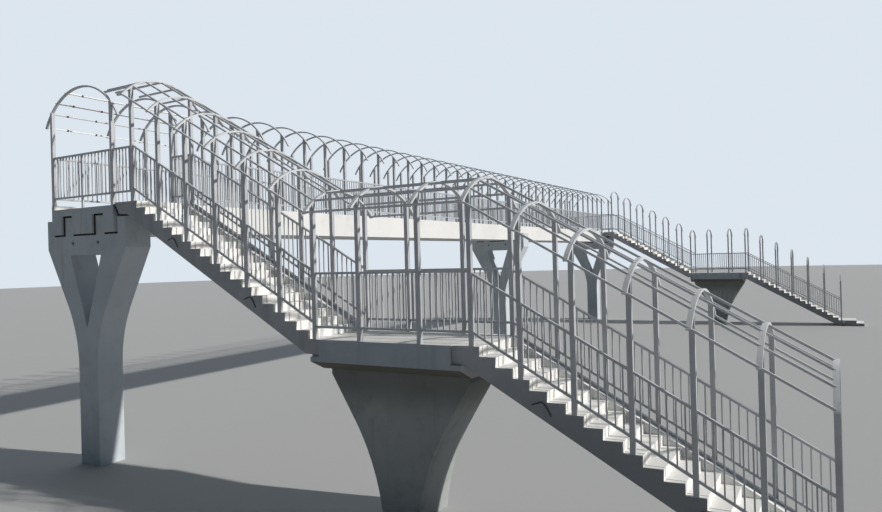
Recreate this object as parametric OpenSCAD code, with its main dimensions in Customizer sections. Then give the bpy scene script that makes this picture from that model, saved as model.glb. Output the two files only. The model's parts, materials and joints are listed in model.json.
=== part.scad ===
// Pedestrian footbridge in precast concrete, with a steel railing and a hooped
// steel cage all the way over it. Scale model at 1:2 of a bridge about 41.5 m long.
// X runs down the stairs, Y along the deck from its near end, Z up from the ground.
// The origin is at the foot of the middle pier, on the deck's centre line.
// Every length is in millimetres of the model, so twice that on the real bridge.

/* [Steps] */
// Height of one step
riser = 84.7; // [78:0.1:92]
// Going of one step
tread = 150; // [140:1:165]
// Steps in each of a stair's two flights
flight_steps = 18; // [12:3:24]
// Steps from one pair of stair posts to the next
bay_steps = 3; // [2:1:3]
// Going of the wide step at the foot, from the last riser of the flight
foot_going = 477; // [400:1:600]
// Going of the lowest step
toe_going = 205; // [150:1:300]
// How far a post's centre line stands behind the next step's edge
post_setback = 75; // [60:1:120]
// Concrete under the steps, from their inner corners straight down to the soffit
waist = 164; // [130:1:190]
// Thickness of the flat slab at each end of a flight
end_slab = 145; // [120:1:170]
// Height over the ground of the lower flight's last slab
foot_seat = 24; // [16:1:30]
// Width of the flights
flight_w = 896; // [880:1:1000]
// Gap between the deck beam's side and the top of a stair's slab
flight_gap = 28; // [10:1:40]
// How far that slab's end leans back to its underside
flight_lean = 86; // [0:1:100]

/* [Landing] */
// Centre line of the upper flight's last posts to that of the lower flight's first
landing_span = 1719; // [1500:1:2000]
// First landing post, from the upper flight's last posts
landing_post_a = 538; // [450:1:600]
// Second landing post, from the upper flight's last posts
landing_post_b = 1197; // [1100:1:1250]
// Depth of the landing block's sides
landing_t = 214; // [200:1:280]
// How much deeper the landing block is in its middle
landing_keel = 93; // [60:1:120]
// How far in from the block's sides its underside slopes down to the middle part
keel_run = 200; // [140:1:260]
// How far the landing block stands out past the flights on each side
landing_proud = 25; // [10:1:60]
// Length of the nibs that carry the flights' ends
nib = 104; // [90:1:150]
// End of the landing's top, beyond the upper flight's last posts
landing_start = 70; // [50:1:90]
// Start of the lower flight's slab, before its first posts
slab_overlap = 183; // [150:1:220]

/* [Deck] */
// Step down from the stair's top to the walking surface of the deck
deck_step = 25; // [0:1:40]
// How far a deck beam's side stands out past its posts' centres
beam_edge = 20; // [15:1:60]
// Depth of a deck beam
beam_h = 320; // [290:1:340]
// Thickness of the beam's slab between its legs
beam_slab = 85; // [70:1:120]
// Width of the beam's outer leg
outer_leg = 193; // [150:1:230]
// Width of the beam's inner leg
inner_leg = 200; // [140:1:220]
// Distance between the end frames of the deck, measured between post centres
deck_span = 20488; // [19000:1:21500]
// Bays of the deck cage between the two stairs
deck_bays = 36; // [30:2:40]
// How far the beam ends stand out past the end frames' centres
beam_end = 25; // [10:1:40]
// Gap between the beam ends over the middle pier
beam_joint = 20; // [10:1:40]
// Height of the kerb over the walking surface
kerb_h = 58; // [50:1:90]
// Width of the kerb
kerb_w = 55; // [50:1:100]

/* [Piers] */
// Middle pier and the beams' joint over it, from mid-length towards the far end
middle_shift = 1860; // [0:10:2500]
// How far a deck pier's head reaches under the stair, past the leaning end of its flight
head_lip = 52; // [30:1:100]
// Foot of a deck pier's head below the stair's top
head_depth = 530; // [500:1:620]
// Thickness of a deck pier
pier_t = 345; // [300:1:420]
// How far the end piers stand back from the end frames' centres
pier_setback = 15; // [5:1:60]
// Half width of a pier's stem
stem_half = 185; // [150:1:220]
// Run of the flank to its rise
flank_slope = 0.56; // [0.5:0.01:0.62]
// Radius that blends the flank into the stem
flank_radius = 1600; // [800:10:1800]
// Half width of the opening through a deck pier, at its top
window_half = 310; // [250:1:340]
// Top of the opening below the stair's top
window_top = 608; // [580:1:650]
// Height of the opening
window_h = 910; // [800:1:950]
// Radius of the drain holes under the beams
drain_r = 22; // [15:1:30]
// Drain holes, from the pier's centre line
drain_x = 255; // [200:1:300]
// Drain holes below the stair's top
drain_drop = 458; // [440:1:480]
// Half width of a landing pier's head
landing_pier_half = 769; // [700:1:790]
// Height of a landing pier's upright head
landing_head = 50; // [20:1:80]
// Run of a landing pier's flank to its rise
landing_slope = 0.617; // [0.56:0.001:0.68]
// Radius that blends a landing pier's flank into the stem
landing_radius = 2160; // [1200:10:2400]
// How far the landing pier's middle lies from mid-landing, towards the upper flight
landing_pier_back = 22; // [0:1:40]

/* [Railing] */
// Width of the square posts
post_w = 40; // [30:1:50]
// Distance between the centres of the deck's two rows of posts
deck_gauge = 1198; // [1150:1:1200]
// Distance between the centres of a stair's two rows of posts
stair_gauge = 856; // [800:1:856]
// Centre of the deck's post row to the stair's first posts
stair_gap = 374; // [350:1:450]
// Top of the handrail over the line of the post feet
rail_top = 652; // [550:1:700]
// Top of the bottom rail over the line of the post feet
rail_low = 132; // [110:1:180]
// Top of the lower flight's handrail over the line of the post feet
flight_rail_top = 641; // [550:1:700]
// Top of the lower flight's bottom rail over the line of the post feet
flight_rail_low = 136; // [110:1:180]
// How much higher the upper flight's rails are set
upper_lift = 30; // [0:1:40]
// Height of the handrail and of the bottom rail
rail_h = 22; // [15:1:30]
// Thickness of the rails, across the railing
rail_t = 24; // [16:1:36]
// Width of the square balusters
baluster_w = 11; // [8:1:14]
// Largest distance between two balusters' centres
baluster_pitch = 68; // [60:1:80]

/* [Cage] */
// Top of the stair's hoops over the line of the post feet
hoop_top = 1485; // [1400:1:1600]
// Outer radius of a stair hoop
hoop_r = 750; // [700:1:800]
// Angle from the crown of a stair hoop to its ends
hoop_angle = 49; // [44:0.5:52]
// Thickness of a hoop's bar, measured to the hoop's centre
hoop_t = 20; // [14:1:26]
// Width of a stair hoop's bar, along the stair
hoop_w = 40; // [30:1:50]
// Top of the deck's hoops over the stair's top
deck_hoop_top = 1490; // [1400:1:1600]
// Outer radius of the deck's hoops
deck_hoop_r = 830; // [800:1:900]
// Angle from the crown of a deck hoop to its ends
deck_hoop_angle = 62.5; // [58:0.5:66]
// Width of a deck hoop's bar, along the deck
deck_hoop_w = 30; // [24:1:40]
// Width of the square bars that run along the cage
purlin_w = 20; // [14:1:26]
// Place of the stair's upper side bars, from the cage's centre
purlin_y = 225; // [150:1:300]
// How far the eaves bars stand out past the stair's first hoop
eave_stub = 60; // [30:1:120]
// Width of the light bars on the deck's outer side at the near end
girt_w = 15; // [10:1:20]
// Height of the one of those bars that lies on the posts
girt_z = 1028; // [900:1:1100]
// Angles of the ones that lie on the hoops, from the crown
girt_angle = [48, 36, 20.5]; // [15:0.5:52]
// Deck frames that those bars join, after the end frame
girt_frames = 3; // [2:1:6]

/* [Bearings] */
// Thickness of the rubber pads under beams and flights
pad_t = 22; // [12:1:25]
// Thickness of the pads under the flights on a deck pier's head
shoulder_pad = 17; // [10:1:25]
// Clearance between precast pieces that meet end to end
joint = 10; // [6:1:14]

/* [Hidden] */
$fn = 96;

// Levels over the ground: stair's top, walking surface of the deck, landing, wide foot step
foot_steps = 2;
deck_z = (2 * flight_steps + foot_steps) * riser;
floor_z = deck_z - deck_step;
landing_z = deck_z - flight_steps * riser;
foot_z = foot_steps * riser;
// Pitch of the flights, and the drop from one pair of posts to the next
pitch = riser / tread;
bay = bay_steps * tread;
bays = flight_steps / bay_steps;
flight_run = bays * bay;
// Width of one deck beam, an inverted channel; two lie side by side under the posts
beam_w = deck_gauge / 2 + beam_edge;
// Places along X: the stair's first posts, then its other ones
stair_x = deck_gauge / 2 + stair_gap;
lower_x = stair_x + flight_run + landing_span;
foot_x = lower_x + flight_run;
// Places along Y from mid-length: the end frames, and the stair's centre line
end_y = deck_span / 2;
stair_y = end_y - stair_gauge / 2;
inner_y = end_y - stair_gauge;
deck_pitch = 2 * inner_y / deck_bays;
pier_y = end_y - pier_setback - pier_t / 2;
// Ends of the beams at their joint over the middle pier
joint_near = middle_shift - beam_joint / 2;
joint_far = middle_shift + beam_joint / 2;
// Start of the upper flight's slab beside the beam, and the pier's head under it
flight_x = beam_w + flight_gap;
head_half = flight_x + flight_lean + head_lip;
shoulder_drop = end_slab + shoulder_pad;
// End of the landing's top, short of the lower flight's slab
block_end = lower_x - slab_overlap - joint;
landing_pier_x = (stair_x + flight_run + lower_x) / 2 - landing_pier_back;
landing_pier_t = flight_w + 2 * (landing_proud - keel_run);
keel_z = landing_z - landing_t - landing_keel;
// Pads lie this far inside what they carry, and reach this far from a pier's middle
pad_inset = 30;
pad_reach = pier_t / 2 - pad_inset;

function steps(x, z, n) =
    [for (i = [0 : n - 1]) each [[x + i * tread, z - i * riser], [x + i * tread, z - (i + 1) * riser]]];
function rail_count(length) = max(2, ceil(length / baluster_pitch));
// Height of a stair hoop's centre line, at a distance from the cage's centre
function hoop_mid(y) = hoop_top - hoop_r + sqrt(pow(hoop_r - hoop_t / 2, 2) - y * y);
// Place across the deck where the deck hoop's centre line has a height over the stair's top
function vault_x(z) = sqrt(pow(deck_hoop_r - hoop_t / 2, 2) - pow(z - deck_hoop_top + deck_hoop_r, 2));
// Lower side bars lie against the deck hoops at the stair's two sides, and the eaves bars
// close the hoops' ends
side_y = (stair_gauge - deck_hoop_w - purlin_w) / 2;
eave_y = (hoop_r - hoop_t / 2) * sin(hoop_angle) - purlin_w / 2;

// Plates: an outline in X and Z with a thickness across Y, or in Y and Z across X
module xz_plate(y, t) { translate([0, y + t / 2, 0]) rotate([90, 0, 0]) linear_extrude(t) children(); }
module yz_plate(x, t) { translate([x - t / 2, 0, 0]) rotate([90, 0, 90]) linear_extrude(t) children(); }

// A bar's outline that keeps its ends upright: from one point to another, with its
// height measured straight down from the given line
module bar_outline(x0, z0, x1, z1, h) { polygon([[x0, z0], [x1, z1], [x1, z1 - h], [x0, z0 - h]]); }

// Pier outline in X and Z about its centre line: a head with upright sides, flanks
// that lean in, and an arc that blends each flank into the upright stem, which is cut
// at the ground
module pier_outline(top, head_bottom, half, slope, r) {
    lean = atan(slope);
    reach = r * tan(lean / 2);
    corner_z = head_bottom - (half - stem_half) / slope;
    arc_x = stem_half + r;
    arc_z = corner_z - reach;
    arc = [for (i = [0 : 12]) let (a = lean * (1 - i / 12)) [arc_x - r * cos(a), arc_z + r * sin(a)]];
    side = concat([[half, top], [half, head_bottom]], arc, [[stem_half, min(arc_z, 0) - joint]]);
    intersection() {
        polygon(concat(side, [for (i = [len(side) - 1 : -1 : 0]) [-side[i][0], side[i][1]]]));
        translate([-2 * half, 0]) square([4 * half, top]);
    }
}

// Outline of the two deck beams' legs and slab, grown by a clearance, in X and Z
module beam_outline(side, grow = 0) {
    mirror([side > 0 ? 0 : 1, 0]) difference() {
        translate([joint / 4, floor_z - beam_h - grow]) square([beam_w - joint / 4 + grow, beam_h + grow]);
        translate([inner_leg + grow, floor_z - beam_h - grow - 1])
            square([beam_w - inner_leg - outer_leg - 2 * grow, beam_h - beam_slab + 1]);
    }
}

// Deck beam from one place along Y to another; the kerb starts at its own place
module deck_beam(side, y0, y1, kerb_y0, kerb_y1) {
    color("gainsboro") {
        xz_plate((y0 + y1) / 2, y1 - y0) beam_outline(side);
        xz_plate((kerb_y0 + kerb_y1) / 2, kerb_y1 - kerb_y0)
            mirror([side > 0 ? 0 : 1, 0]) translate([beam_w - kerb_w, floor_z]) square([kerb_w, kerb_h]);
    }
}

// Deck pier: its head takes the beams' legs in pockets, in which the pads lie, and rises
// between the legs to just under the beams' slabs
module deck_pier(y) {
    core = beam_w - outer_leg;
    color("lightsteelblue") difference() {
        xz_plate(y, pier_t) {
            pier_outline(deck_z - shoulder_drop, deck_z - head_depth, head_half, flank_slope, flank_radius);
            translate([-core, deck_z - head_depth])
                square([2 * core, head_depth - deck_step - beam_slab - pad_t]);
        }
        xz_plate(y, pier_t + 2) for (side = [-1, 1]) beam_outline(side, pad_t);
        xz_plate(y, pier_t + 2) translate([0, deck_z - window_top])
            polygon([[-window_half, 0], [window_half, 0], [0, -window_h]]);
        for (side = [-1, 1]) translate([side * drain_x, y, deck_z - drain_drop])
            rotate([90, 0, 0]) cylinder(r = drain_r, h = pier_t + 2, center = true);
    }
}

module landing_pier(y) {
    color("lightsteelblue") xz_plate(y, landing_pier_t) translate([landing_pier_x, 0])
        pier_outline(keel_z, keel_z - landing_head, landing_pier_half, landing_slope, landing_radius);
}

// Flight outline in X and Z: x and z give its first posts' feet, start its upper end,
// lean how far that end runs back to the underside and low the thickness of its last slab
module flight_outline(x, z, start, lean, low) {
    edge = x + post_setback;
    finish = x + flight_run + landing_start - joint;
    soffit_high = edge + (end_slab - riser - waist) / pitch;
    soffit_low = edge + ((flight_steps - 1) * riser + low - waist) / pitch;
    bottom = z - flight_steps * riser;
    polygon(concat(
        [[start, z]], steps(edge, z, flight_steps), [[finish, bottom]],
        [[finish, bottom - low], [soffit_low, bottom - low]],
        [[soffit_high, z - end_slab], [start + lean, z - end_slab]]
    ));
}

module upper_flight(y) {
    color("whitesmoke") xz_plate(y, flight_w) flight_outline(stair_x, deck_z, flight_x, flight_lean, end_slab);
}

module lower_flight(y) {
    color("whitesmoke") xz_plate(y, flight_w)
        flight_outline(lower_x, landing_z, block_end + joint, 0, foot_z - foot_seat);
}

// Landing block, with a nib under the upper flight's end and one under the lower flight;
// its underside slopes down from both sides to a flat middle part as wide as the pier
module landing(y) {
    nib_z = landing_z - end_slab - pad_t;
    nib_x = stair_x + flight_run + landing_start;
    half = flight_w / 2 + landing_proud;
    color("gainsboro") intersection() {
        xz_plate(y, 2 * half) polygon([
            [nib_x - nib, nib_z], [nib_x, nib_z], [nib_x, landing_z], [block_end, landing_z],
            [block_end, nib_z], [block_end + nib, nib_z], [block_end + nib, keel_z], [nib_x - nib, keel_z]
        ]);
        yz_plate((nib_x + block_end) / 2, block_end - nib_x + 3 * nib) translate([y, 0]) polygon([
            [-half, landing_z + joint], [-half, landing_z - landing_t], [keel_run - half, keel_z],
            [half - keel_run, keel_z], [half, landing_z - landing_t], [half, landing_z + joint]
        ]);
    }
}

// Wide steps on the ground at the end of the lower flight
module foot_block(y) {
    start = foot_x + landing_start;
    edge = foot_x - tread + post_setback + foot_going;
    color("gainsboro") xz_plate(y, flight_w) polygon([
        [start, 0], [start, foot_z], [edge, foot_z],
        [edge, foot_z - riser], [edge + toe_going, foot_z - riser], [edge + toe_going, 0]
    ]);
}

module bearing_pad(x0, x1, y0, y1, top, t = pad_t) {
    translate([x0, y0, top - t]) cube([x1 - x0, y1 - y0, t]);
}

// Pads under the beams' legs over each pier
module beam_pads() {
    inner = [pad_inset, inner_leg - pad_inset];
    outer = [beam_w - outer_leg + pad_inset, beam_w - pad_inset];
    for (side = [-1, 1], leg = [inner, outer])
        let (x0 = side > 0 ? leg[0] : -leg[1], x1 = side > 0 ? leg[1] : -leg[0])
            for (seat = [
                [-pier_y - pad_reach, -pier_y + pad_reach],
                [middle_shift - pad_reach, middle_shift - beam_joint / 2 - pad_inset],
                [middle_shift + beam_joint / 2 + pad_inset, middle_shift + pad_reach],
                [pier_y - pad_reach, pier_y + pad_reach]
            ])
                bearing_pad(x0, x1, seat[0], seat[1], floor_z - beam_h);
}

// Pads under a stair's flights: on the pier's shoulder, the landing's nibs and the ground
module stair_pads(end) {
    half = flight_w / 2 - pad_inset;
    y = end * stair_y;
    low = landing_z - end_slab;
    upper_end = stair_x + flight_run + landing_start;
    bearing_pad(flight_x + flight_lean + joint, head_half - joint, end * pier_y - pad_reach,
        end * pier_y + pad_reach, deck_z - end_slab, shoulder_pad);
    bearing_pad(upper_end - nib + pad_inset, upper_end - joint - pad_inset, y - half, y + half, low);
    bearing_pad(block_end + joint + pad_inset, block_end + nib - pad_inset, y - half, y + half, low);
    bearing_pad(foot_x + landing_start - nib + pad_inset, foot_x + landing_start - joint - pad_inset,
        y - half, y + half, foot_seat, foot_seat);
}

module bearing_pads() {
    color("dimgray") {
        beam_pads();
        for (end = [-1, 1]) stair_pads(end);
    }
}

// Outline of a square post about its middle, from its foot up to the underside of the hoop
// that rests on it, whose outer top and radius are given
module post_outline(middle, foot, top, r) {
    difference() {
        translate([middle - post_w / 2, foot]) square([post_w, top - foot]);
        translate([0, top - r]) difference() {
            translate([-2 * r, 0]) square([4 * r, 2 * r]);
            circle(r = r - hoop_t);
        }
    }
}

module stair_post(x, z, side) {
    translate([0, 0, z]) yz_plate(x, post_w) post_outline(side * stair_gauge / 2, 0, hoop_top, hoop_r);
}

// One bay of railing between two posts' faces, x0 to x1, whose feet line falls
// from z0 by the given slope; low and top give its rails' heights over that line
module railing_bay(x0, x1, z0, slope, low = rail_low, top = rail_top) {
    n = rail_count(x1 - x0);
    step = (x1 - x0) / n;
    function line(x) = z0 - slope * (x - x0);
    for (h = [low, top])
        xz_plate(0, rail_t) bar_outline(x0, line(x0) + h, x1, line(x1) + h, rail_h);
    xz_plate(0, baluster_w) for (i = [1 : n - 1]) let (a = x0 + i * step - baluster_w / 2, b = a + baluster_w)
        polygon([[a, line(a) + low - rail_h / 2], [b, line(b) + low - rail_h / 2],
            [b, line(b) + top - rail_h / 2], [a, line(a) + top - rail_h / 2]]);
}

// Railing down one side of a flight, with its posts
module flight_railing(x, z, side, lift = 0) {
    color("slategray") {
        for (i = [0 : bays]) stair_post(x + i * bay, z - i * bay * pitch, side);
        translate([0, side * stair_gauge / 2, 0]) for (i = [0 : bays - 1])
            railing_bay(x + i * bay, x + (i + 1) * bay, z - i * bay * pitch, pitch,
                flight_rail_low + lift, flight_rail_top + lift);
    }
}

module upper_railing(side) {
    flight_railing(stair_x, deck_z, side, upper_lift);
    color("slategray") translate([0, side * stair_gauge / 2, 0])
        railing_bay(deck_gauge / 2 + post_w / 2, stair_x, deck_z, 0);
}

module lower_railing(side) { flight_railing(lower_x, landing_z, side); }

module landing_railing(side) {
    from = stair_x + flight_run;
    stops = [from + post_w / 2, from + landing_post_a, from + landing_post_b, lower_x - post_w / 2];
    color("slategray") {
        for (x = [stops[1], stops[2]]) stair_post(x, landing_z, side);
        translate([0, side * stair_gauge / 2, 0]) for (i = [0 : 2])
            railing_bay(stops[i], stops[i + 1], landing_z, 0);
    }
}

// Outline of a hoop: a round bar of the given outer top and radius, from its crown to the
// given angle on both sides
module hoop_outline(top, r, angle) {
    far = 2 * r;
    translate([0, top - r]) intersection() {
        difference() {
            circle(r = r);
            circle(r = r - hoop_t);
        }
        polygon([
            [0, 0], [far * sin(angle), far * cos(angle)], [0, far], [-far * sin(angle), far * cos(angle)]
        ]);
    }
}

module stair_hoop(x, z) {
    translate([0, 0, z]) yz_plate(x, hoop_w) hoop_outline(hoop_top, hoop_r, hoop_angle);
}

// Bar along the cage at a place across it, from x0 at height z0 to x1 down the slope
module purlin(y, x0, x1, z0, slope) {
    z = z0 + hoop_mid(abs(y)) + purlin_w / 2;
    xz_plate(y, purlin_w) bar_outline(x0, z, x1, z - slope * (x1 - x0), purlin_w);
}

// Bars along the cage, between two frames whose feet line falls by the slope
module purlins(x0, x1, z0, slope) {
    for (y = [eave_y, side_y, purlin_y, 0, -purlin_y, -side_y, -eave_y]) purlin(y, x0, x1, z0, slope);
}

// Level bars from the stair's first hoop back to the deck's vault, and the stubs of the
// eaves bars
module gate_purlins() {
    for (y = [side_y, purlin_y, 0, -purlin_y, -side_y])
        purlin(y, vault_x(hoop_mid(abs(y))), stair_x, deck_z, 0);
    for (y = [eave_y, -eave_y]) purlin(y, stair_x - hoop_w / 2 - eave_stub, stair_x, deck_z, 0);
}

module flight_hoops(x, z) {
    color("slategray") for (i = [0 : bays]) stair_hoop(x + i * bay, z - i * bay * pitch);
}

module landing_hoops() {
    from = stair_x + flight_run;
    color("slategray") for (x = [from + landing_post_a, from + landing_post_b]) stair_hoop(x, landing_z);
}

module upper_cage() {
    flight_hoops(stair_x, deck_z);
    color("slategray") {
        purlins(stair_x, stair_x + flight_run, deck_z, pitch);
        purlins(stair_x + flight_run, stair_x + flight_run + hoop_w / 2, landing_z, 0);
        gate_purlins();
    }
}

module lower_cage() {
    flight_hoops(lower_x, landing_z);
    color("slategray") {
        purlins(lower_x - hoop_w / 2, lower_x, landing_z, 0);
        purlins(lower_x, foot_x + hoop_w / 2, landing_z, pitch);
    }
}

module landing_cage() {
    landing_hoops();
    color("slategray")
        purlins(stair_x + flight_run + hoop_w / 2, lower_x - hoop_w / 2, landing_z, 0);
}

// Deck post, with its foot at a height over the walking surface
module deck_post(y, side, foot) {
    xz_plate(y, post_w)
        post_outline(side * deck_gauge / 2, floor_z + foot, deck_z + deck_hoop_top, deck_hoop_r);
}

module deck_hoop(y) {
    xz_plate(y, deck_hoop_w) hoop_outline(deck_z + deck_hoop_top, deck_hoop_r, deck_hoop_angle);
}

// Bay of the deck's railing between two places along Y
module deck_railing_bay(y0, y1) {
    translate([0, y0, 0]) rotate([0, 0, 90]) railing_bay(0, y1 - y0, deck_z, 0);
}

function frame_y(i) = -inner_y + i * deck_pitch;

// Railing along one side of the deck; near and far halves meet at the middle post
module deck_railing_inner(end) {
    half = deck_bays / 2;
    color("slategray") mirror([0, end > 0 ? 1 : 0, 0]) {
        for (i = [0 : end > 0 ? half - 1 : half]) deck_post(frame_y(i), 1, kerb_h);
        translate([deck_gauge / 2, 0, 0]) for (i = [0 : half - 1])
            deck_railing_bay(frame_y(i), frame_y(i + 1) - (i == half - 1 ? post_w / 2 : 0));
    }
}

module deck_railing_outer(end) {
    half = deck_bays / 2;
    color("slategray") mirror([0, end > 0 ? 1 : 0, 0]) {
        deck_post(-end_y, -1, kerb_h);
        for (i = [0 : end > 0 ? half - 1 : half]) deck_post(frame_y(i), -1, kerb_h);
        translate([-deck_gauge / 2, 0, 0]) {
            deck_railing_bay(-end_y, frame_y(0));
            for (i = [0 : half - 1])
                deck_railing_bay(frame_y(i), frame_y(i + 1) - (i == half - 1 ? post_w / 2 : 0));
        }
    }
}

// Railing across the deck's end, with the stair side's end post and a slim middle post
module end_railing(end) {
    half = deck_gauge / 2;
    color("slategray") mirror([0, end > 0 ? 1 : 0, 0]) {
        deck_post(-end_y, 1, 0);
        translate([0, -end_y, 0]) {
            railing_bay(-half + post_w / 2, 0, deck_z, 0);
            railing_bay(0, half, deck_z, 0);
            translate([-rail_t / 2, -rail_t / 2, floor_z])
                cube([rail_t, rail_t, deck_step + rail_top - rail_h / 2]);
        }
    }
}

module deck_hoops(end) {
    half = deck_bays / 2;
    color("slategray") mirror([0, end > 0 ? 1 : 0, 0]) {
        deck_hoop(-end_y);
        for (i = [0 : end > 0 ? half - 1 : half]) deck_hoop(frame_y(i));
    }
}

// Light bars on the deck's outer side, fixed outside the posts and the hoops
module side_girts() {
    y0 = -end_y - deck_hoop_w / 2;
    y1 = frame_y(girt_frames - 1) + deck_hoop_w / 2;
    color("slategray") xz_plate((y0 + y1) / 2, y1 - y0) {
        translate([-deck_gauge / 2 - post_w / 2 - girt_w, deck_z + girt_z]) square(girt_w);
        translate([0, deck_z + deck_hoop_top - deck_hoop_r]) for (a = girt_angle)
            rotate(a) translate([-girt_w / 2, deck_hoop_r]) square(girt_w);
    }
}

// Puts a piece that is drawn from mid-length where the middle pier's foot is the origin
module placed() { translate([0, -middle_shift, 0]) children(); }

// Puts a piece that is drawn from a stair's centre line on the near or the far stair
module stair(end) { placed() translate([0, end * stair_y, 0]) children(); }

placed() deck_pier(-pier_y);  // pier_near
placed() deck_pier(middle_shift);  // pier_middle
placed() deck_pier(pier_y);  // pier_far
placed() landing_pier(-stair_y);  // landing_pier_near
placed() landing_pier(stair_y);  // landing_pier_far
placed()  // deck_beam_outer_near
    deck_beam(-1, -end_y - beam_end, joint_near, -end_y - beam_end, joint_near);
placed()  // deck_beam_inner_near
    deck_beam(1, -end_y - beam_end, joint_near, -inner_y - post_w / 2, joint_near);
placed()  // deck_beam_outer_far
    deck_beam(-1, joint_far, end_y + beam_end, joint_far, end_y + beam_end);
placed()  // deck_beam_inner_far
    deck_beam(1, joint_far, end_y + beam_end, joint_far, inner_y + post_w / 2);
placed() upper_flight(-stair_y);  // upper_flight_near
placed() landing(-stair_y);  // landing_near
placed() lower_flight(-stair_y);  // lower_flight_near
placed() foot_block(-stair_y);  // foot_steps_near
placed() upper_flight(stair_y);  // upper_flight_far
placed() landing(stair_y);  // landing_far
placed() lower_flight(stair_y);  // lower_flight_far
placed() foot_block(stair_y);  // foot_steps_far
placed() bearing_pads();
placed() deck_railing_outer(-1);  // deck_railing_outer_near
placed() deck_railing_inner(-1);  // deck_railing_inner_near
placed() deck_railing_outer(1);  // deck_railing_outer_far
placed() deck_railing_inner(1);  // deck_railing_inner_far
placed() end_railing(-1);  // end_railing_near
placed() end_railing(1);  // end_railing_far
placed() deck_hoops(-1);  // deck_hoops_near
placed() deck_hoops(1);  // deck_hoops_far
placed() side_girts();
stair(-1) upper_railing(-1);  // upper_railing_left_near
stair(-1) upper_railing(1);  // upper_railing_right_near
stair(-1) landing_railing(-1);  // landing_railing_left_near
stair(-1) landing_railing(1);  // landing_railing_right_near
stair(-1) lower_railing(-1);  // lower_railing_left_near
stair(-1) lower_railing(1);  // lower_railing_right_near
stair(1) upper_railing(-1);  // upper_railing_left_far
stair(1) upper_railing(1);  // upper_railing_right_far
stair(1) landing_railing(-1);  // landing_railing_left_far
stair(1) landing_railing(1);  // landing_railing_right_far
stair(1) lower_railing(-1);  // lower_railing_left_far
stair(1) lower_railing(1);  // lower_railing_right_far
stair(-1) upper_cage();  // upper_cage_near
stair(-1) landing_cage();  // landing_cage_near
stair(-1) lower_cage();  // lower_cage_near
stair(1) flight_hoops(stair_x, deck_z);  // upper_hoops_far
stair(1) landing_hoops();  // landing_hoops_far
stair(1) flight_hoops(lower_x, landing_z);  // lower_hoops_far
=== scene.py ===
"""Looks of the precast concrete footbridge with its hooped steel cage, at 1:2.

The CAD nodes keep their shape and place and get procedural materials. What is added
here is the small work that the CAD leaves out: the wheel ramps that lie on the steps,
the lifting loops on the flights' sides, the clips on the deck's side bars, black pieces
that stand for the deep shade in the gaps around the beams' legs and under the upper
flights' ends (painted shade), and the mortar beds between the flights and the landings.
"""
import json
import math

import bpy
import numpy as np
from mathutils import Matrix, Vector


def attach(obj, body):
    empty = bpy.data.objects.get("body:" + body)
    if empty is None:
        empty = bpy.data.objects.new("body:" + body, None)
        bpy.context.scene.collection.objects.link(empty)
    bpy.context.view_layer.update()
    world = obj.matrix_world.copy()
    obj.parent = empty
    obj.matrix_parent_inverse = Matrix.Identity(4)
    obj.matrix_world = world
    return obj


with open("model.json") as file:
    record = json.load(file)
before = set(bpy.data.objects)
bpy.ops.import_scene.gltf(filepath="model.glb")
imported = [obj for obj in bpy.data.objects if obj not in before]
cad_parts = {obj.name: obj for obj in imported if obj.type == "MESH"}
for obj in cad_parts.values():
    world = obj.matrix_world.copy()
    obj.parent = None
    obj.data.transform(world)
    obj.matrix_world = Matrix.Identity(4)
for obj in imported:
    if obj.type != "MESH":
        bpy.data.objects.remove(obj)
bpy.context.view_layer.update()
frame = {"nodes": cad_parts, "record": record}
NODES = frame["nodes"]

# Driving sizes in metres of the model, as in the CAD. Steps, flights and landings
RISER = 0.0847
TREAD = 0.150
FLIGHT_STEPS = 18
FOOT_STEPS = 2
FLIGHT_HALF = 0.448
POST_SETBACK = 0.075
END_SLAB = 0.145
LANDING_SPAN = 1.719
LANDING_START = 0.070
LANDING_END = 0.193
NIB = 0.104
GAP = 0.022

# Deck, from its middle: half the gauge, the stairs' first posts, the beams, and how far the
# slanted end of a flight lies from the beam, runs back and has pier under it
HALF_GAUGE = 0.599
STAIR_GAP = 0.374
DECK_STEP = 0.025
BEAM_W = HALF_GAUGE + 0.020
BEAM_H = 0.320
BEAM_SLAB = 0.085
INNER_LEG = 0.200
OUTER_LEG = 0.193
FLIGHT_GAP = 0.028
FLIGHT_LEAN = 0.086
HEAD_LIP = 0.052
SHOULDER_GAP = 0.017

# Deck cage: half a post, a side bar, and the hoop's radius and top over the deck
HALF_POST = 0.020
GIRT = 0.015
HOOP_R = 0.830
HOOP_TOP = 1.490

# Heights, and places along X: the flights' first posts, the slanted ends and the piers' heads
PITCH = RISER / TREAD
FLIGHT_RUN = FLIGHT_STEPS * TREAD
DECK_Z = (2 * FLIGHT_STEPS + FOOT_STEPS) * RISER
LANDING_Z = (FLIGHT_STEPS + FOOT_STEPS) * RISER
LEG_LOW = DECK_Z - DECK_STEP - BEAM_H
SLAB_LOW = DECK_Z - DECK_STEP - BEAM_SLAB
STAIR_X = HALF_GAUGE + STAIR_GAP
LOWER_X = STAIR_X + FLIGHT_RUN + LANDING_SPAN
FLIGHTS = ((STAIR_X, DECK_Z), (LOWER_X, LANDING_Z))
SLANT_FOOT = BEAM_W + FLIGHT_GAP + FLIGHT_LEAN
HEAD_HALF = SLANT_FOOT + HEAD_LIP

# Places along Y: mid-length, the end frames' and the stairs' distances from it, and the deck
# between the two stairs
MID_Y = -1.860
END_Y = 10.244
STAIR_HALF_GAUGE = 0.428
STAIR_Y = END_Y - STAIR_HALF_GAUGE
STAIRS = (MID_Y - STAIR_Y, MID_Y + STAIR_Y)
INNER_SPAN = 2 * (STAIR_Y - STAIR_HALF_GAUGE)
DECK_BAYS = 36

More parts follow.
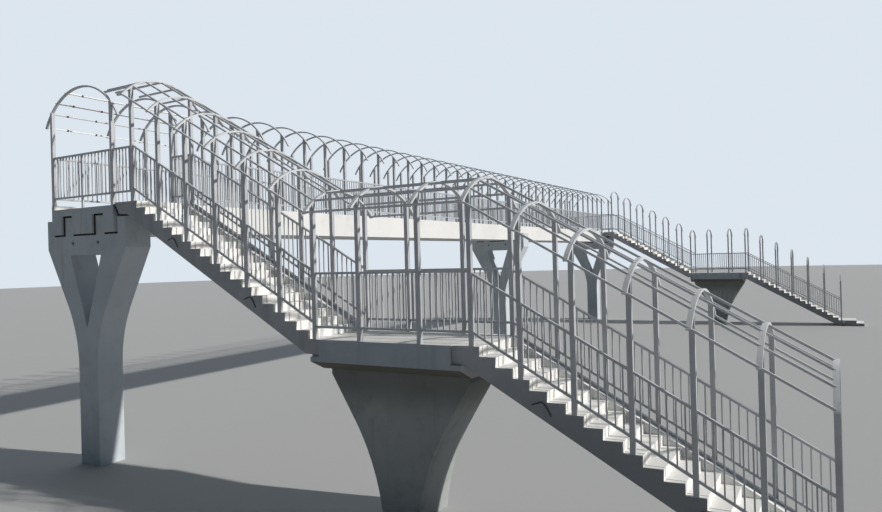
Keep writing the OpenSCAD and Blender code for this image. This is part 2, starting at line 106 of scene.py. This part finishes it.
# Deck piers: half their thickness, their middles, and their drain holes
PIER_HALF = 0.1725
PIER_IN = 0.015 + PIER_HALF
PIERS = (MID_Y - END_Y + PIER_IN, 0.0, MID_Y + END_Y - PIER_IN)
DRAIN_X = 0.255
DRAIN_Z = DECK_Z - 0.458

# Wheel ramps: their middle from a stair's centre line, half their width, and their rims
RAMP_MID = 0.3125
RAMP_HALF = 0.0915
RAMP_RIM = 0.042

# Joint lines on the steps: how far in from the flights' sides, and their width
STEP_JOINT = 0.066
STEP_JOINT_W = 0.0085

# Heights between which painted shade on the sides of flights and landings grows towards the ground
SHADE_FULL_BELOW = 0.8
SHADE_ENDS_ABOVE = 1.85


# Materials

def shader(name):
    """A new material with a principled shader: the material, its node tree and the shader."""
    m = bpy.data.materials.new(name)
    m.use_nodes = True
    tree = m.node_tree
    tree.nodes.clear()
    out = tree.nodes.new("ShaderNodeOutputMaterial")
    bsdf = tree.nodes.new("ShaderNodeBsdfPrincipled")
    tree.links.new(bsdf.outputs[0], out.inputs[0])
    return m, tree, bsdf


def feed(tree, value, socket):
    """Links an output to a socket, or sets the socket to a number or a tuple."""
    if isinstance(value, bpy.types.NodeSocket):
        tree.links.new(value, socket)
    else:
        socket.default_value = value


def coords(tree):
    """Place on the object, in metres of the shared frame."""
    return tree.nodes.new("ShaderNodeTexCoord").outputs["Object"]


def stretched(tree, vector, scale):
    """Vector multiplied by a scale for each axis."""
    n = tree.nodes.new("ShaderNodeMapping")
    tree.links.new(vector, n.inputs["Vector"])
    n.inputs["Scale"].default_value = scale
    return n.outputs[0]


def noise(tree, vector, scale, detail=4.0, rough=0.55):
    """Noise about 0.5 at a vector."""
    n = tree.nodes.new("ShaderNodeTexNoise")
    tree.links.new(vector, n.inputs["Vector"])
    n.inputs["Scale"].default_value = scale
    n.inputs["Detail"].default_value = detail
    n.inputs["Roughness"].default_value = rough
    return n.outputs["Fac"]


def ramp(tree, value, low, high, out_low=0.0, out_high=1.0):
    """Smooth step of value from out_low at low to out_high at high."""
    n = tree.nodes.new("ShaderNodeMapRange")
    n.interpolation_type = "SMOOTHSTEP"
    feed(tree, value, n.inputs["Value"])
    n.inputs["From Min"].default_value = low
    n.inputs["From Max"].default_value = high
    n.inputs["To Min"].default_value = out_low
    n.inputs["To Max"].default_value = out_high
    return n.outputs["Result"]


def calc(tree, op, a, b=0.0, clamp=False):
    """Result of a math node's operation on a and b."""
    n = tree.nodes.new("ShaderNodeMath")
    n.operation = op
    n.use_clamp = clamp
    feed(tree, a, n.inputs[0])
    feed(tree, b, n.inputs[1])
    return n.outputs[0]


def mix(tree, amount, a, b):
    """Colour a at amount 0, going to colour b at amount 1."""
    n = tree.nodes.new("ShaderNodeMix")
    n.data_type = "RGBA"
    feed(tree, amount, n.inputs["Factor"])
    feed(tree, a, n.inputs[6])
    feed(tree, b, n.inputs[7])
    return n.outputs[2]


def split(tree, vector):
    """X, Y and Z of a vector."""
    n = tree.nodes.new("ShaderNodeSeparateXYZ")
    tree.links.new(vector, n.inputs[0])
    return n.outputs


def bump(tree, height, strength, distance, base=None):
    """Normal tilted by a height, over a base normal where one is given."""
    n = tree.nodes.new("ShaderNodeBump")
    n.inputs["Strength"].default_value = strength
    n.inputs["Distance"].default_value = distance
    feed(tree, height, n.inputs["Height"])
    if base is not None:
        tree.links.new(base, n.inputs["Normal"])
    return n.outputs[0]


def normal(tree):
    """Direction that the surface faces."""
    return tree.nodes.new("ShaderNodeNewGeometry").outputs["Normal"]


def line(tree, value, place, width):
    """1 within half a width of a place, fading to 0 over as much again."""
    off = calc(tree, "ABSOLUTE", calc(tree, "SUBTRACT", value, place))
    return ramp(tree, off, width * 0.5, width, 1.0, 0.0)


def concrete(name, base, dark, light, streak, side=None, joints=False, below=None, shade=None):
    """Cast concrete: cloudy tone, upright rain streaks, pores and a soft edge. Its sides
    that face along the deck may get darker, bluer tones of painted shade, the last of them
    also in the streaks on them and as painted shade near the ground, and its downward faces
    get painted shade: the dark colour, or a colour of their own. Steps may have a joint line
    a little way in from both of their ends. A pier's head may get painted shade, dark from
    the height shade up."""
    m, tree, bsdf = shader(name)
    p = coords(tree)
    cloud = noise(tree, p, 1.1, 5.0, 0.6)
    patch = noise(tree, p, 5.5, 6.0, 0.62)
    lines = noise(tree, stretched(tree, p, (7.0, 7.0, 0.55)), 1.0, 5.0, 0.6)
    speck = noise(tree, p, 70.0, 3.0, 0.7)
    colour = mix(tree, ramp(tree, cloud, 0.35, 0.68), base, light)
    colour = mix(tree, ramp(tree, patch, 0.5, 0.78, 0.0, 0.35), colour, dark)
    facing = split(tree, normal(tree))
    upright = ramp(tree, calc(tree, "ABSOLUTE", facing[2]), 0.3, 0.6, 1.0, 0.0)
    wet = calc(tree, "MULTIPLY", ramp(tree, lines, 0.52, 0.74, 0.0, streak), upright)
    colour = mix(tree, wet, colour, dark)
    # Painted shade: sides that face along the deck take darker, bluer tones, darkest towards the
    # ground; side[2] also draws the rain streaks on them.
    if side is not None:
        across = ramp(tree, calc(tree, "ABSOLUTE", facing[1]), 0.6, 0.8)
        tone = mix(tree, ramp(tree, patch, 0.35, 0.7), side[0], side[1])
        tone = mix(tree, ramp(tree, lines, 0.5, 0.72, 0.0, 0.45), tone, side[2])
        low = ramp(tree, split(tree, p)[2], SHADE_FULL_BELOW, SHADE_ENDS_ABOVE, 0.9, 0.0)
        tone = mix(tree, low, tone, side[2])
        colour = mix(tree, across, colour, tone)
    # Painted shade on faces that point down: towards the dark colour, or to the colour given for
    # them.
    if below is None:
        colour = mix(tree, ramp(tree, facing[2], -0.8, -0.4, 0.35, 0.0), colour, dark)
    else:
        colour = mix(tree, ramp(tree, facing[2], -0.5, -0.1, 1.0, 0.0), colour, below)
    # Painted shade on a pier's head, from the height shade up.
    if shade is not None:
        high = ramp(tree, split(tree, p)[2], shade - 0.35, shade, 0.0, 0.7)
        colour = mix(tree, high, colour, dark)
    colour = mix(tree, ramp(tree, speck, 0.60, 0.72, 0.0, 0.22), colour, dark)
    if joints:
        y = split(tree, p)[1]
        off = calc(tree, "ABSOLUTE", calc(tree, "SUBTRACT", y, MID_Y))
        off = calc(tree, "ABSOLUTE", calc(tree, "SUBTRACT", off, STAIR_Y))
        seam = line(tree, off, FLIGHT_HALF - STEP_JOINT, STEP_JOINT_W)
        colour = mix(tree, calc(tree, "MULTIPLY", seam, 0.85), colour, (0.16, 0.16, 0.155, 1))
    feed(tree, colour, bsdf.inputs["Base Color"])
    feed(tree, ramp(tree, patch, 0.3, 0.7, 0.78, 0.95), bsdf.inputs["Roughness"])
    bsdf.inputs["Specular IOR Level"].default_value = 0.3
    edge = tree.nodes.new("ShaderNodeBevel")
    edge.inputs["Radius"].default_value = 0.004
    pores = calc(tree, "MULTIPLY", speck, 0.35)
    height = calc(tree, "ADD", pores, calc(tree, "MULTIPLY", patch, 0.65))
    feed(tree, bump(tree, height, 0.35, 0.004, edge.outputs[0]), bsdf.inputs["Normal"])
    return m


def trough(tree, p):
    """1 on the bed of the wheel ramps, between their rims, by its place across the stair."""
    off = calc(tree, "ABSOLUTE", calc(tree, "SUBTRACT", split(tree, p)[1], MID_Y + RAMP_MID))
    off = calc(tree, "ABSOLUTE", calc(tree, "SUBTRACT", off, STAIR_Y))
    return ramp(tree, off, RAMP_HALF - RAMP_RIM - 0.003, RAMP_HALF - RAMP_RIM, 1.0, 0.0)


def ramp_concrete():
    """Wheel ramps: pale rims, and a bed that wheels and rain have made grey, drawn lighter than
    that grey: painted light against the railing's shadow on it.
    """
    m, tree, bsdf = shader("ramp_concrete")
    p = coords(tree)
    patch = noise(tree, p, 6.0, 5.0, 0.6)
    speck = noise(tree, p, 60.0, 3.0, 0.7)
    rim = mix(tree, ramp(tree, patch, 0.4, 0.7), (0.74, 0.74, 0.73, 1), (0.68, 0.68, 0.67, 1))
    # The bed's grey is drawn lighter than its own: painted light against the railing's shadow on
    # it.
    bed = mix(tree, ramp(tree, patch, 0.35, 0.7), (0.36, 0.38, 0.41, 1), (0.45, 0.47, 0.50, 1))
    bed = mix(tree, ramp(tree, speck, 0.55, 0.72, 0.0, 0.35), bed, (0.26, 0.27, 0.28, 1))
    feed(tree, mix(tree, trough(tree, p), rim, bed), bsdf.inputs["Base Color"])
    bsdf.inputs["Roughness"].default_value = 0.88
    feed(tree, bump(tree, speck, 0.3, 0.003), bsdf.inputs["Normal"])
    return m


def steel(name, base, dark, light):
    """Grey primer on steel: a little uneven, with scuffs and faint brown stains."""
    m, tree, bsdf = shader(name)
    p = coords(tree)
    cloud = noise(tree, p, 3.5, 4.0, 0.6)
    fine = noise(tree, p, 42.0, 4.0, 0.65)
    rust = noise(tree, p, 9.0, 5.0, 0.7)
    colour = mix(tree, ramp(tree, cloud, 0.35, 0.65), base, light)
    colour = mix(tree, ramp(tree, fine, 0.56, 0.72, 0.0, 0.5), colour, dark)
    colour = mix(tree, ramp(tree, rust, 0.66, 0.76, 0.0, 0.4), colour, (0.13, 0.085, 0.055, 1))
    feed(tree, colour, bsdf.inputs["Base Color"])
    feed(tree, ramp(tree, fine, 0.3, 0.7, 0.42, 0.6), bsdf.inputs["Roughness"])
    bsdf.inputs["Metallic"].default_value = 0.1
    edge = tree.nodes.new("ShaderNodeBevel")
    edge.inputs["Radius"].default_value = 0.0015
    feed(tree, bump(tree, fine, 0.12, 0.001, edge.outputs[0]), bsdf.inputs["Normal"])
    return m


def plain(name, colour, rough):
    """One even colour."""
    m, tree, bsdf = shader(name)
    bsdf.inputs["Base Color"].default_value = colour
    bsdf.inputs["Roughness"].default_value = rough
    return m


def pads():
    """Black rubber under the deck, and dusty grey beds under the flights' lower seats."""
    m, tree, bsdf = shader("bearing_rubber")
    high = ramp(tree, split(tree, coords(tree))[2], 2.0, 2.5)
    colour = mix(tree, high, (0.20, 0.20, 0.20, 1), (0.02, 0.02, 0.021, 1))
    feed(tree, colour, bsdf.inputs["Base Color"])
    bsdf.inputs["Roughness"].default_value = 0.85
    return m


# Tones of the sides that face along the deck: painted shade, darker and bluer than the rest; the
# last one also serves the streaks and the painted shade near the ground.
STAIR_SHADED_SIDE = ((0.38, 0.40, 0.43, 1), (0.46, 0.475, 0.50, 1), (0.25, 0.265, 0.28, 1))
BEAM_SHADED_SIDE = ((0.50, 0.56, 0.61, 1), (0.56, 0.62, 0.66, 1), (0.38, 0.42, 0.45, 1))
BLOCK_SHADED_SIDE = ((0.38, 0.43, 0.48, 1), (0.44, 0.49, 0.54, 1), (0.28, 0.31, 0.34, 1))
# Each concrete's downward faces get painted shade, in its dark colour or in its below colour.
PIER = concrete("pier_concrete", (0.51, 0.56, 0.60, 1), (0.33, 0.35, 0.36, 1),
                (0.57, 0.62, 0.66, 1), 0.45)
# Landing piers: darker all over and darker still at the head: painted shade under the landings.
SHADED_PIER = concrete("landing_pier_concrete", (0.35, 0.365, 0.365, 1), (0.13, 0.135, 0.12, 1),
                     (0.42, 0.435, 0.435, 1), 0.4, shade=1.28)
BEAM = concrete("beam_concrete", (0.66, 0.66, 0.655, 1), (0.48, 0.48, 0.47, 1),
                (0.71, 0.71, 0.705, 1), 0.12, side=BEAM_SHADED_SIDE)
STAIR = concrete("stair_concrete", (0.74, 0.735, 0.72, 1), (0.56, 0.555, 0.54, 1),
                 (0.78, 0.775, 0.76, 1), 0.12, side=STAIR_SHADED_SIDE, joints=True,
                 below=(0.30, 0.30, 0.29, 1))
BLOCK = concrete("landing_concrete", (0.60, 0.60, 0.585, 1), (0.36, 0.355, 0.34, 1),
                 (0.67, 0.67, 0.655, 1), 0.2, side=BLOCK_SHADED_SIDE, below=(0.15, 0.145, 0.12, 1))
RAMP = ramp_concrete()
STEEL = steel("primed_steel", (0.49, 0.50, 0.52, 1), (0.34, 0.35, 0.37, 1),
              (0.57, 0.58, 0.60, 1))
# Railings: a darker copy of the primer steel, as painted shade.
SHADED_RAIL_STEEL = steel("rail_steel", (0.40, 0.41, 0.43, 1), (0.28, 0.29, 0.31, 1),
                   (0.47, 0.48, 0.50, 1))
# Side bars: a lighter copy of the primer steel, as painted sunlight.
SUNLIT_STEEL = steel("girt_steel", (0.68, 0.69, 0.70, 1), (0.50, 0.51, 0.52, 1),
                   (0.74, 0.75, 0.76, 1))
IRON = plain("loop_iron", (0.035, 0.032, 0.03, 1), 0.7)
BEDDING = plain("bedding_mortar", (0.34, 0.355, 0.375, 1), 0.95)
# Near black that stands for the deep shade in the piers' gaps and drain holes: painted shade.
GAP_SHADE = plain("painted_gap_shade", (0.012, 0.012, 0.013, 1), 0.95)
RUBBER = pads()
BY_SLOT = {"pier_concrete": PIER, "beam_concrete": BEAM, "stair_concrete": STAIR,
           "primed_steel": STEEL, "bearing_rubber": RUBBER}
BY_NODE = {"landing_near": BLOCK, "landing_far": BLOCK, "side_girts": SUNLIT_STEEL,
           "landing_pier_near": SHADED_PIER, "landing_pier_far": SHADED_PIER}
SLOT_OF = {s["node"]: s["material_slot"] for s in frame["record"]["subparts"]}

for name, obj in NODES.items():
    slot_name = SLOT_OF[name]
    look = SHADED_RAIL_STEEL if "_railing_" in name else BY_NODE.get(name, BY_SLOT[slot_name])
    obj.data.materials.clear()
    obj.data.materials.append(look)


# Added pieces. A shape is an array of vertices and a list of arrays of faces, in which each
# row names a face's vertices, anticlockwise from outside

def piece(name, shape, material):
    """A new mesh of the object, fixed to its one body."""
    verts, faces = shape
    mesh = bpy.data.meshes.new(name)
    mesh.from_pydata(verts, [], [face for rows in faces for face in rows.tolist()])
    mesh.update()
    mesh.materials.append(material)
    obj = bpy.data.objects.new(name, mesh)
    bpy.context.scene.collection.objects.link(obj)
    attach(obj, "root")
    return obj


def skin(rings):
    """Surface over a grid of points: every row of the grid is a closed ring, a face joins
    points i and i + 1 of rings k and k + 1, and one more face closes each end."""
    count, n = rings.shape[:2]
    index = np.arange(count * n).reshape(count, n)
    ahead = np.roll(index, -1, axis=1)
    sides = np.stack((index[:-1], ahead[:-1], ahead[1:], index[1:]), axis=-1).reshape(-1, 4)
    ends = np.stack((index[0, ::-1], index[-1]))
    return rings.reshape(-1, 3), [sides, ends]


def at(shape, place):
    """The shape moved from the origin to a place."""
    verts, faces = shape
    return verts + place, faces


def join(shapes):
    """Several shapes as one: each one's faces count on from the vertices before it."""
    first = np.cumsum([0] + [len(verts) for verts, _ in shapes])
    return (np.concatenate([verts for verts, _ in shapes]),
            [rows + start for (_, faces), start in zip(shapes, first) for rows in faces])


def unit(vectors):
    """Vectors at length 1."""
    return vectors / np.linalg.norm(vectors, axis=1, keepdims=True)


def bar(points, radius, across, sides=8):
    """Round bar along a line of points. Its rings are circles of radius (a cos t + b sin t),
    where a is square to the line and to the direction across, and b to the line and to a.
    The line's own direction at a point is from the one before it to the one after."""
    points = np.array(points, float)
    n = np.arange(len(points))
    along = unit(points[np.minimum(n + 1, n[-1])] - points[np.maximum(n - 1, 0)])
    a = unit(np.cross(along, across))
    b = np.cross(along, a)
    t = np.linspace(0, 2 * math.pi, sides, endpoint=False)[:, None]
    circles = a[:, None] * np.cos(t) + b[:, None] * np.sin(t)
    return skin(points[:, None] + circles * radius)


def block(size):
    """Box about the origin: a rectangle in X and Y, at half the height below and above."""
    corners = np.array(((-1, -1, 0), (1, -1, 0), (1, 1, 0), (-1, 1, 0)))
    levels = np.array((-1, 1))[:, None, None] * (0, 0, 1)
    return skin((corners + levels) * np.array(size) / 2)


def plate(outline, y0, y1):
    """An outline in X and Z, anticlockwise as seen from the near side, carried straight
    along Y from y1 to y0."""
    x, z = np.array(outline, float).T
    y = np.array((y1, y0))[:, None]
    return skin(np.stack(np.broadcast_arrays(x, y, z), axis=-1))


def wheel_ramp(y0, y1, x, z):
    """A trough carried down the line of a flight's step edges. Across Y it has a rim, a flat
    bed and a rim, and its body goes straight down into the steps' inner corners. Its top is
    that line plus a rise, which grows from the first edge on until it is full, and its bed
    lies a lip lower, but never under the line. It ends upright on the last tread but one."""
    lip, low, full = 0.008, 0.002, 0.012
    grown, length = 0.05, 16.75 * TREAD
    body = RISER + 0.004
    along = np.array((0.0, grown, length))
    rise = np.array((low, full, full))
    edges = z - along * PITCH
    top = edges + rise
    bed = top - np.minimum(lip, rise)
    foot = edges - body
    across = np.array((y0, y1, y1, y1 - RAMP_RIM, y1 - RAMP_RIM, y0 + RAMP_RIM, y0 + RAMP_RIM, y0))
    heights = np.stack((foot, foot, top, top, bed, bed, top, top), axis=1)
    places = (x + POST_SETBACK + along)[:, None]
    return skin(np.stack(np.broadcast_arrays(places, across, heights), axis=-1))


def lifting_loops():
    """Bent bars cast into the flights' sides: each goes up along the side, over and down.
    The first lies near a flight's start, the second as far from its end on every flight."""
    bends = ((-0.079, 0, -0.027), (-0.044, 0, -0.016), (0, 0, 0), (0.025, 0, -0.014),
             (0.05, 0, -0.048), (0.066, 0, -0.079), (0.082, 0, -0.110))
    starts, from_end = (0.69, 0.627), 0.85
    radius, stand_off, drop = 0.0055, 0.005, 0.111
    loop = bar(bends, radius, across=(0, 1, 0))
    loops = []
    for middle in STAIRS:
        for side in (-1, 1):
            y = middle + side * (FLIGHT_HALF + stand_off)
            for (x, z), start in zip(FLIGHTS, starts):
                for place in (start, FLIGHT_RUN - from_end):
                    top = z - (place - POST_SETBACK) * PITCH - drop
                    loops.append(at(loop, (x + place, y, top)))
    return join(loops)


def girt_clips():
    """Small clips where the deck's side bars, drawn light as painted sunlight, cross its frames,
    and sleeves between. The lowest bar lies on the posts. The others lie on the hoop, at its
    radius times the sine of their angle out from the crown's middle, and times the cosine up from
    it."""
    bar_height, angles, sleeves = 1.028, np.radians((48, 36, 20.5)), (0.22, 0.62)
    end = MID_Y - END_Y
    frames = [MID_Y - STAIR_Y + STAIR_HALF_GAUGE + i * INNER_SPAN / DECK_BAYS for i in range(3)]
    reach = HOOP_R + GIRT / 2
    x = np.append(-HALF_GAUGE - HALF_POST - GIRT / 2, -np.sin(angles) * reach)
    z = DECK_Z + np.append(bar_height + GIRT / 2, HOOP_TOP - HOOP_R + np.cos(angles) * reach)
    clip_w, clip_length = GIRT + 0.008, 0.024
    clip = block((clip_w, clip_length, clip_w))
    return join([at(clip, (x[k], y, z[k])) for k in range(len(x))
                 for y in frames + [end + sleeve for sleeve in sleeves]])


def painted_gap_shade():
    """Painted shade: black pieces near both faces of each deck pier, which stand for the deep
    shade in the gaps between its pockets and the beams' legs, over its middle and under the
    upper flights' ends, and the black ends of the drain pipes a little way into their holes,
    for the shade inside them. The pockets' piece is the line of the beams' underside and that
    line set off by the gap, and its left half mirrors its right one."""
    deep, proud, shoulder_proud, inset = 0.06, 0.010, 0.037, -0.005
    core = BEAM_W - OUTER_LEG
    under = np.array(((INNER_LEG, LEG_LOW), (INNER_LEG, SLAB_LOW), (core, SLAB_LOW),
                      (core, LEG_LOW), (BEAM_W, LEG_LOW)))
    gap = GAP * np.array(((1, -1), (1, -1), (-1, -1), (-1, -1), (0, -1)))
    half = np.concatenate((under + gap, under[::-1]))
    pocket = np.concatenate((half, half[::-1] * (-1, 1)))

    # Under a flight's end on the pier's head, and up its slanted end beside the beam
    bite, cover = 0.002, 0.003
    seat = DECK_Z - END_SLAB
    foot = seat - SHOULDER_GAP - bite
    slant_low, slant_high, beam_side, slant_top = 0.709, 0.658, BEAM_W + 0.005, 3.200
    shoulder = ((slant_low, foot), (HEAD_HALF - bite, foot), (HEAD_HALF - bite, seat + cover),
                (SLANT_FOOT, seat + cover), (slant_high, slant_top), (beam_side, slant_top))

    pipe_r, pipe_depth, pipe_half = 0.0215, 0.021, 0.009
    pipe = bar(((0, -pipe_half, 0), (0, pipe_half, 0)), pipe_r, across=(0, 0, 1), sides=24)
    shapes = []
    for k, middle in enumerate(PIERS):
        for face in (-1, 1):
            end = (k, face) in ((0, -1), (2, 1))
            back = middle + face * (PIER_HALF - deep)
            front = middle + face * (PIER_HALF + (proud if end else inset))
            shapes.append(plate(pocket, *sorted((front, back))))
            if k != 1:
                ahead = middle + face * (PIER_HALF + (shoulder_proud if end else inset))
                shapes.append(plate(shoulder, *sorted((ahead, back))))
            for x in (-DRAIN_X, DRAIN_X):
                shapes.append(at(pipe, (x, middle + face * (PIER_HALF - pipe_depth), DRAIN_Z)))
    return join(shapes)


def mortar_beds():
    """Mortar in the gaps between the flights' ends and the landings' nibs: on every nib, as
    long as it, as high as the gap and nearly as wide as the flight."""
    setback = 0.004
    half = FLIGHT_HALF - setback
    bed = plate(((0, 0), (NIB, 0), (NIB, GAP), (0, GAP)), -half, half)
    starts = (STAIR_X + FLIGHT_RUN + LANDING_START - NIB, LOWER_X - LANDING_END)
    return join([at(bed, (x, middle, LANDING_Z - END_SLAB - GAP))
                 for middle in STAIRS for x in starts])


for tag, middle in zip(("near", "far"), STAIRS):
    y0, y1 = middle + RAMP_MID - RAMP_HALF, middle + RAMP_MID + RAMP_HALF
    for label, (x, z) in zip(("upper", "lower"), FLIGHTS):
        shape = wheel_ramp(y0, y1, x, z)
        piece("wheel_ramp_%s_%s" % (label, tag), shape, RAMP)
piece("lifting_loops", lifting_loops(), IRON)
piece("girt_clips", girt_clips(), IRON)
piece("painted_gap_shade", painted_gap_shade(), GAP_SHADE)
piece("mortar_beds", mortar_beds(), BEDDING)


# Stage: floor, light and camera

def floor():
    """Flat grey disc just under the ground's height: a circle of radius (cos t, sin t)."""
    radius, sides, height = 90, 96, -0.0005
    t = np.linspace(0, 2 * math.pi, sides, endpoint=False)
    rim = np.stack((radius * np.cos(t), radius * np.sin(t), np.full(sides, height)), axis=1)
    mesh = bpy.data.meshes.new("floor")
    mesh.from_pydata(rim, [], [tuple(range(sides))])
    obj = bpy.data.objects.new("floor", mesh)
    bpy.context.scene.collection.objects.link(obj)
    mesh.materials.append(plain("floor", (0.42, 0.42, 0.42, 1), 0.9))


def sun(energy, direction, angle, colour):
    """Low sun that shines from the given direction."""
    data = bpy.data.lights.new("sun", "SUN")
    data.energy = energy
    data.color = colour
    data.angle = angle
    obj = bpy.data.objects.new("sun", data)
    obj.rotation_mode = "QUATERNION"
    obj.rotation_quaternion = (-Vector(direction)).to_track_quat("-Z", "Y")
    obj.location = Vector(direction) * 30
    bpy.context.scene.collection.objects.link(obj)


def sky():
    """Soft light that is bright behind the bridge, as the photo looks at it, and dim elsewhere.
    Where the sky itself is seen, straight or in a reflection, it is one pale colour."""
    world = bpy.data.worlds.new("studio")
    bpy.context.scene.world = world
    world.use_nodes = True
    tree = world.node_tree
    tree.nodes.clear()
    out = tree.nodes.new("ShaderNodeOutputWorld")
    light = tree.nodes.new("ShaderNodeBackground")
    toward = split(tree, tree.nodes.new("ShaderNodeNewGeometry").outputs["Incoming"])
    view_x, view_y = -0.5, 0.866
    away = calc(tree, "ADD", calc(tree, "MULTIPLY", toward[0], view_x),
                calc(tree, "MULTIPLY", toward[1], view_y))
    near = ramp(tree, away, -0.8, -0.1)
    feed(tree, mix(tree, near, (0.84, 0.92, 1.0, 1), (0.55, 0.78, 1.0, 1)), light.inputs["Color"])
    level = ramp(tree, away, -0.8, -0.1, 0.85, 0.10)
    high = ramp(tree, toward[2], -0.85, -0.3, 0.5, 1.0)
    feed(tree, calc(tree, "MULTIPLY", level, high), light.inputs["Strength"])
    seen = tree.nodes.new("ShaderNodeBackground")
    seen.inputs["Color"].default_value = (0.72, 0.79, 0.86, 1)
    rays = tree.nodes.new("ShaderNodeLightPath").outputs
    glassy = calc(tree, "ADD", rays["Is Glossy Ray"], rays["Is Transmission Ray"])
    both = tree.nodes.new("ShaderNodeMixShader")
    feed(tree, calc(tree, "ADD", rays["Is Camera Ray"], glassy, clamp=True), both.inputs[0])
    tree.links.new(light.outputs[0], both.inputs[1])
    tree.links.new(seen.outputs[0], both.inputs[2])
    tree.links.new(both.outputs[0], out.inputs[0])


def camera():
    """The photo's view point, in metres of the model."""
    yaw, pitch, roll = -0.52334, 0.00214, -0.02707
    eye = (8.1426, -17.3566, 2.4581)
    focal_px, width_px, sensor = 694.0, 882, 36.0
    level = math.cos(pitch)
    fwd = Vector((math.sin(yaw) * level, math.cos(yaw) * level, math.sin(pitch)))
    right = Vector((math.cos(yaw), -math.sin(yaw), 0))
    up = right.cross(fwd)
    r2 = right * math.cos(roll) + up * math.sin(roll)
    u2 = up * math.cos(roll) - right * math.sin(roll)
    data = bpy.data.cameras.new("camera")
    data.sensor_width = sensor
    data.lens = focal_px / width_px * sensor
    data.clip_start = 0.1
    data.clip_end = 400.0
    obj = bpy.data.objects.new("camera", data)
    obj.matrix_world = Matrix((
        (r2.x, u2.x, -fwd.x, eye[0]), (r2.y, u2.y, -fwd.y, eye[1]),
        (r2.z, u2.z, -fwd.z, eye[2]), (0, 0, 0, 1)))
    bpy.context.scene.collection.objects.link(obj)
    bpy.context.scene.camera = obj


floor()
sky()
sun(3.8, (0.843, 0.19, 0.50), math.radians(1.5), (1.0, 0.97, 0.92))
camera()
bpy.context.scene.view_settings.view_transform = "Standard"
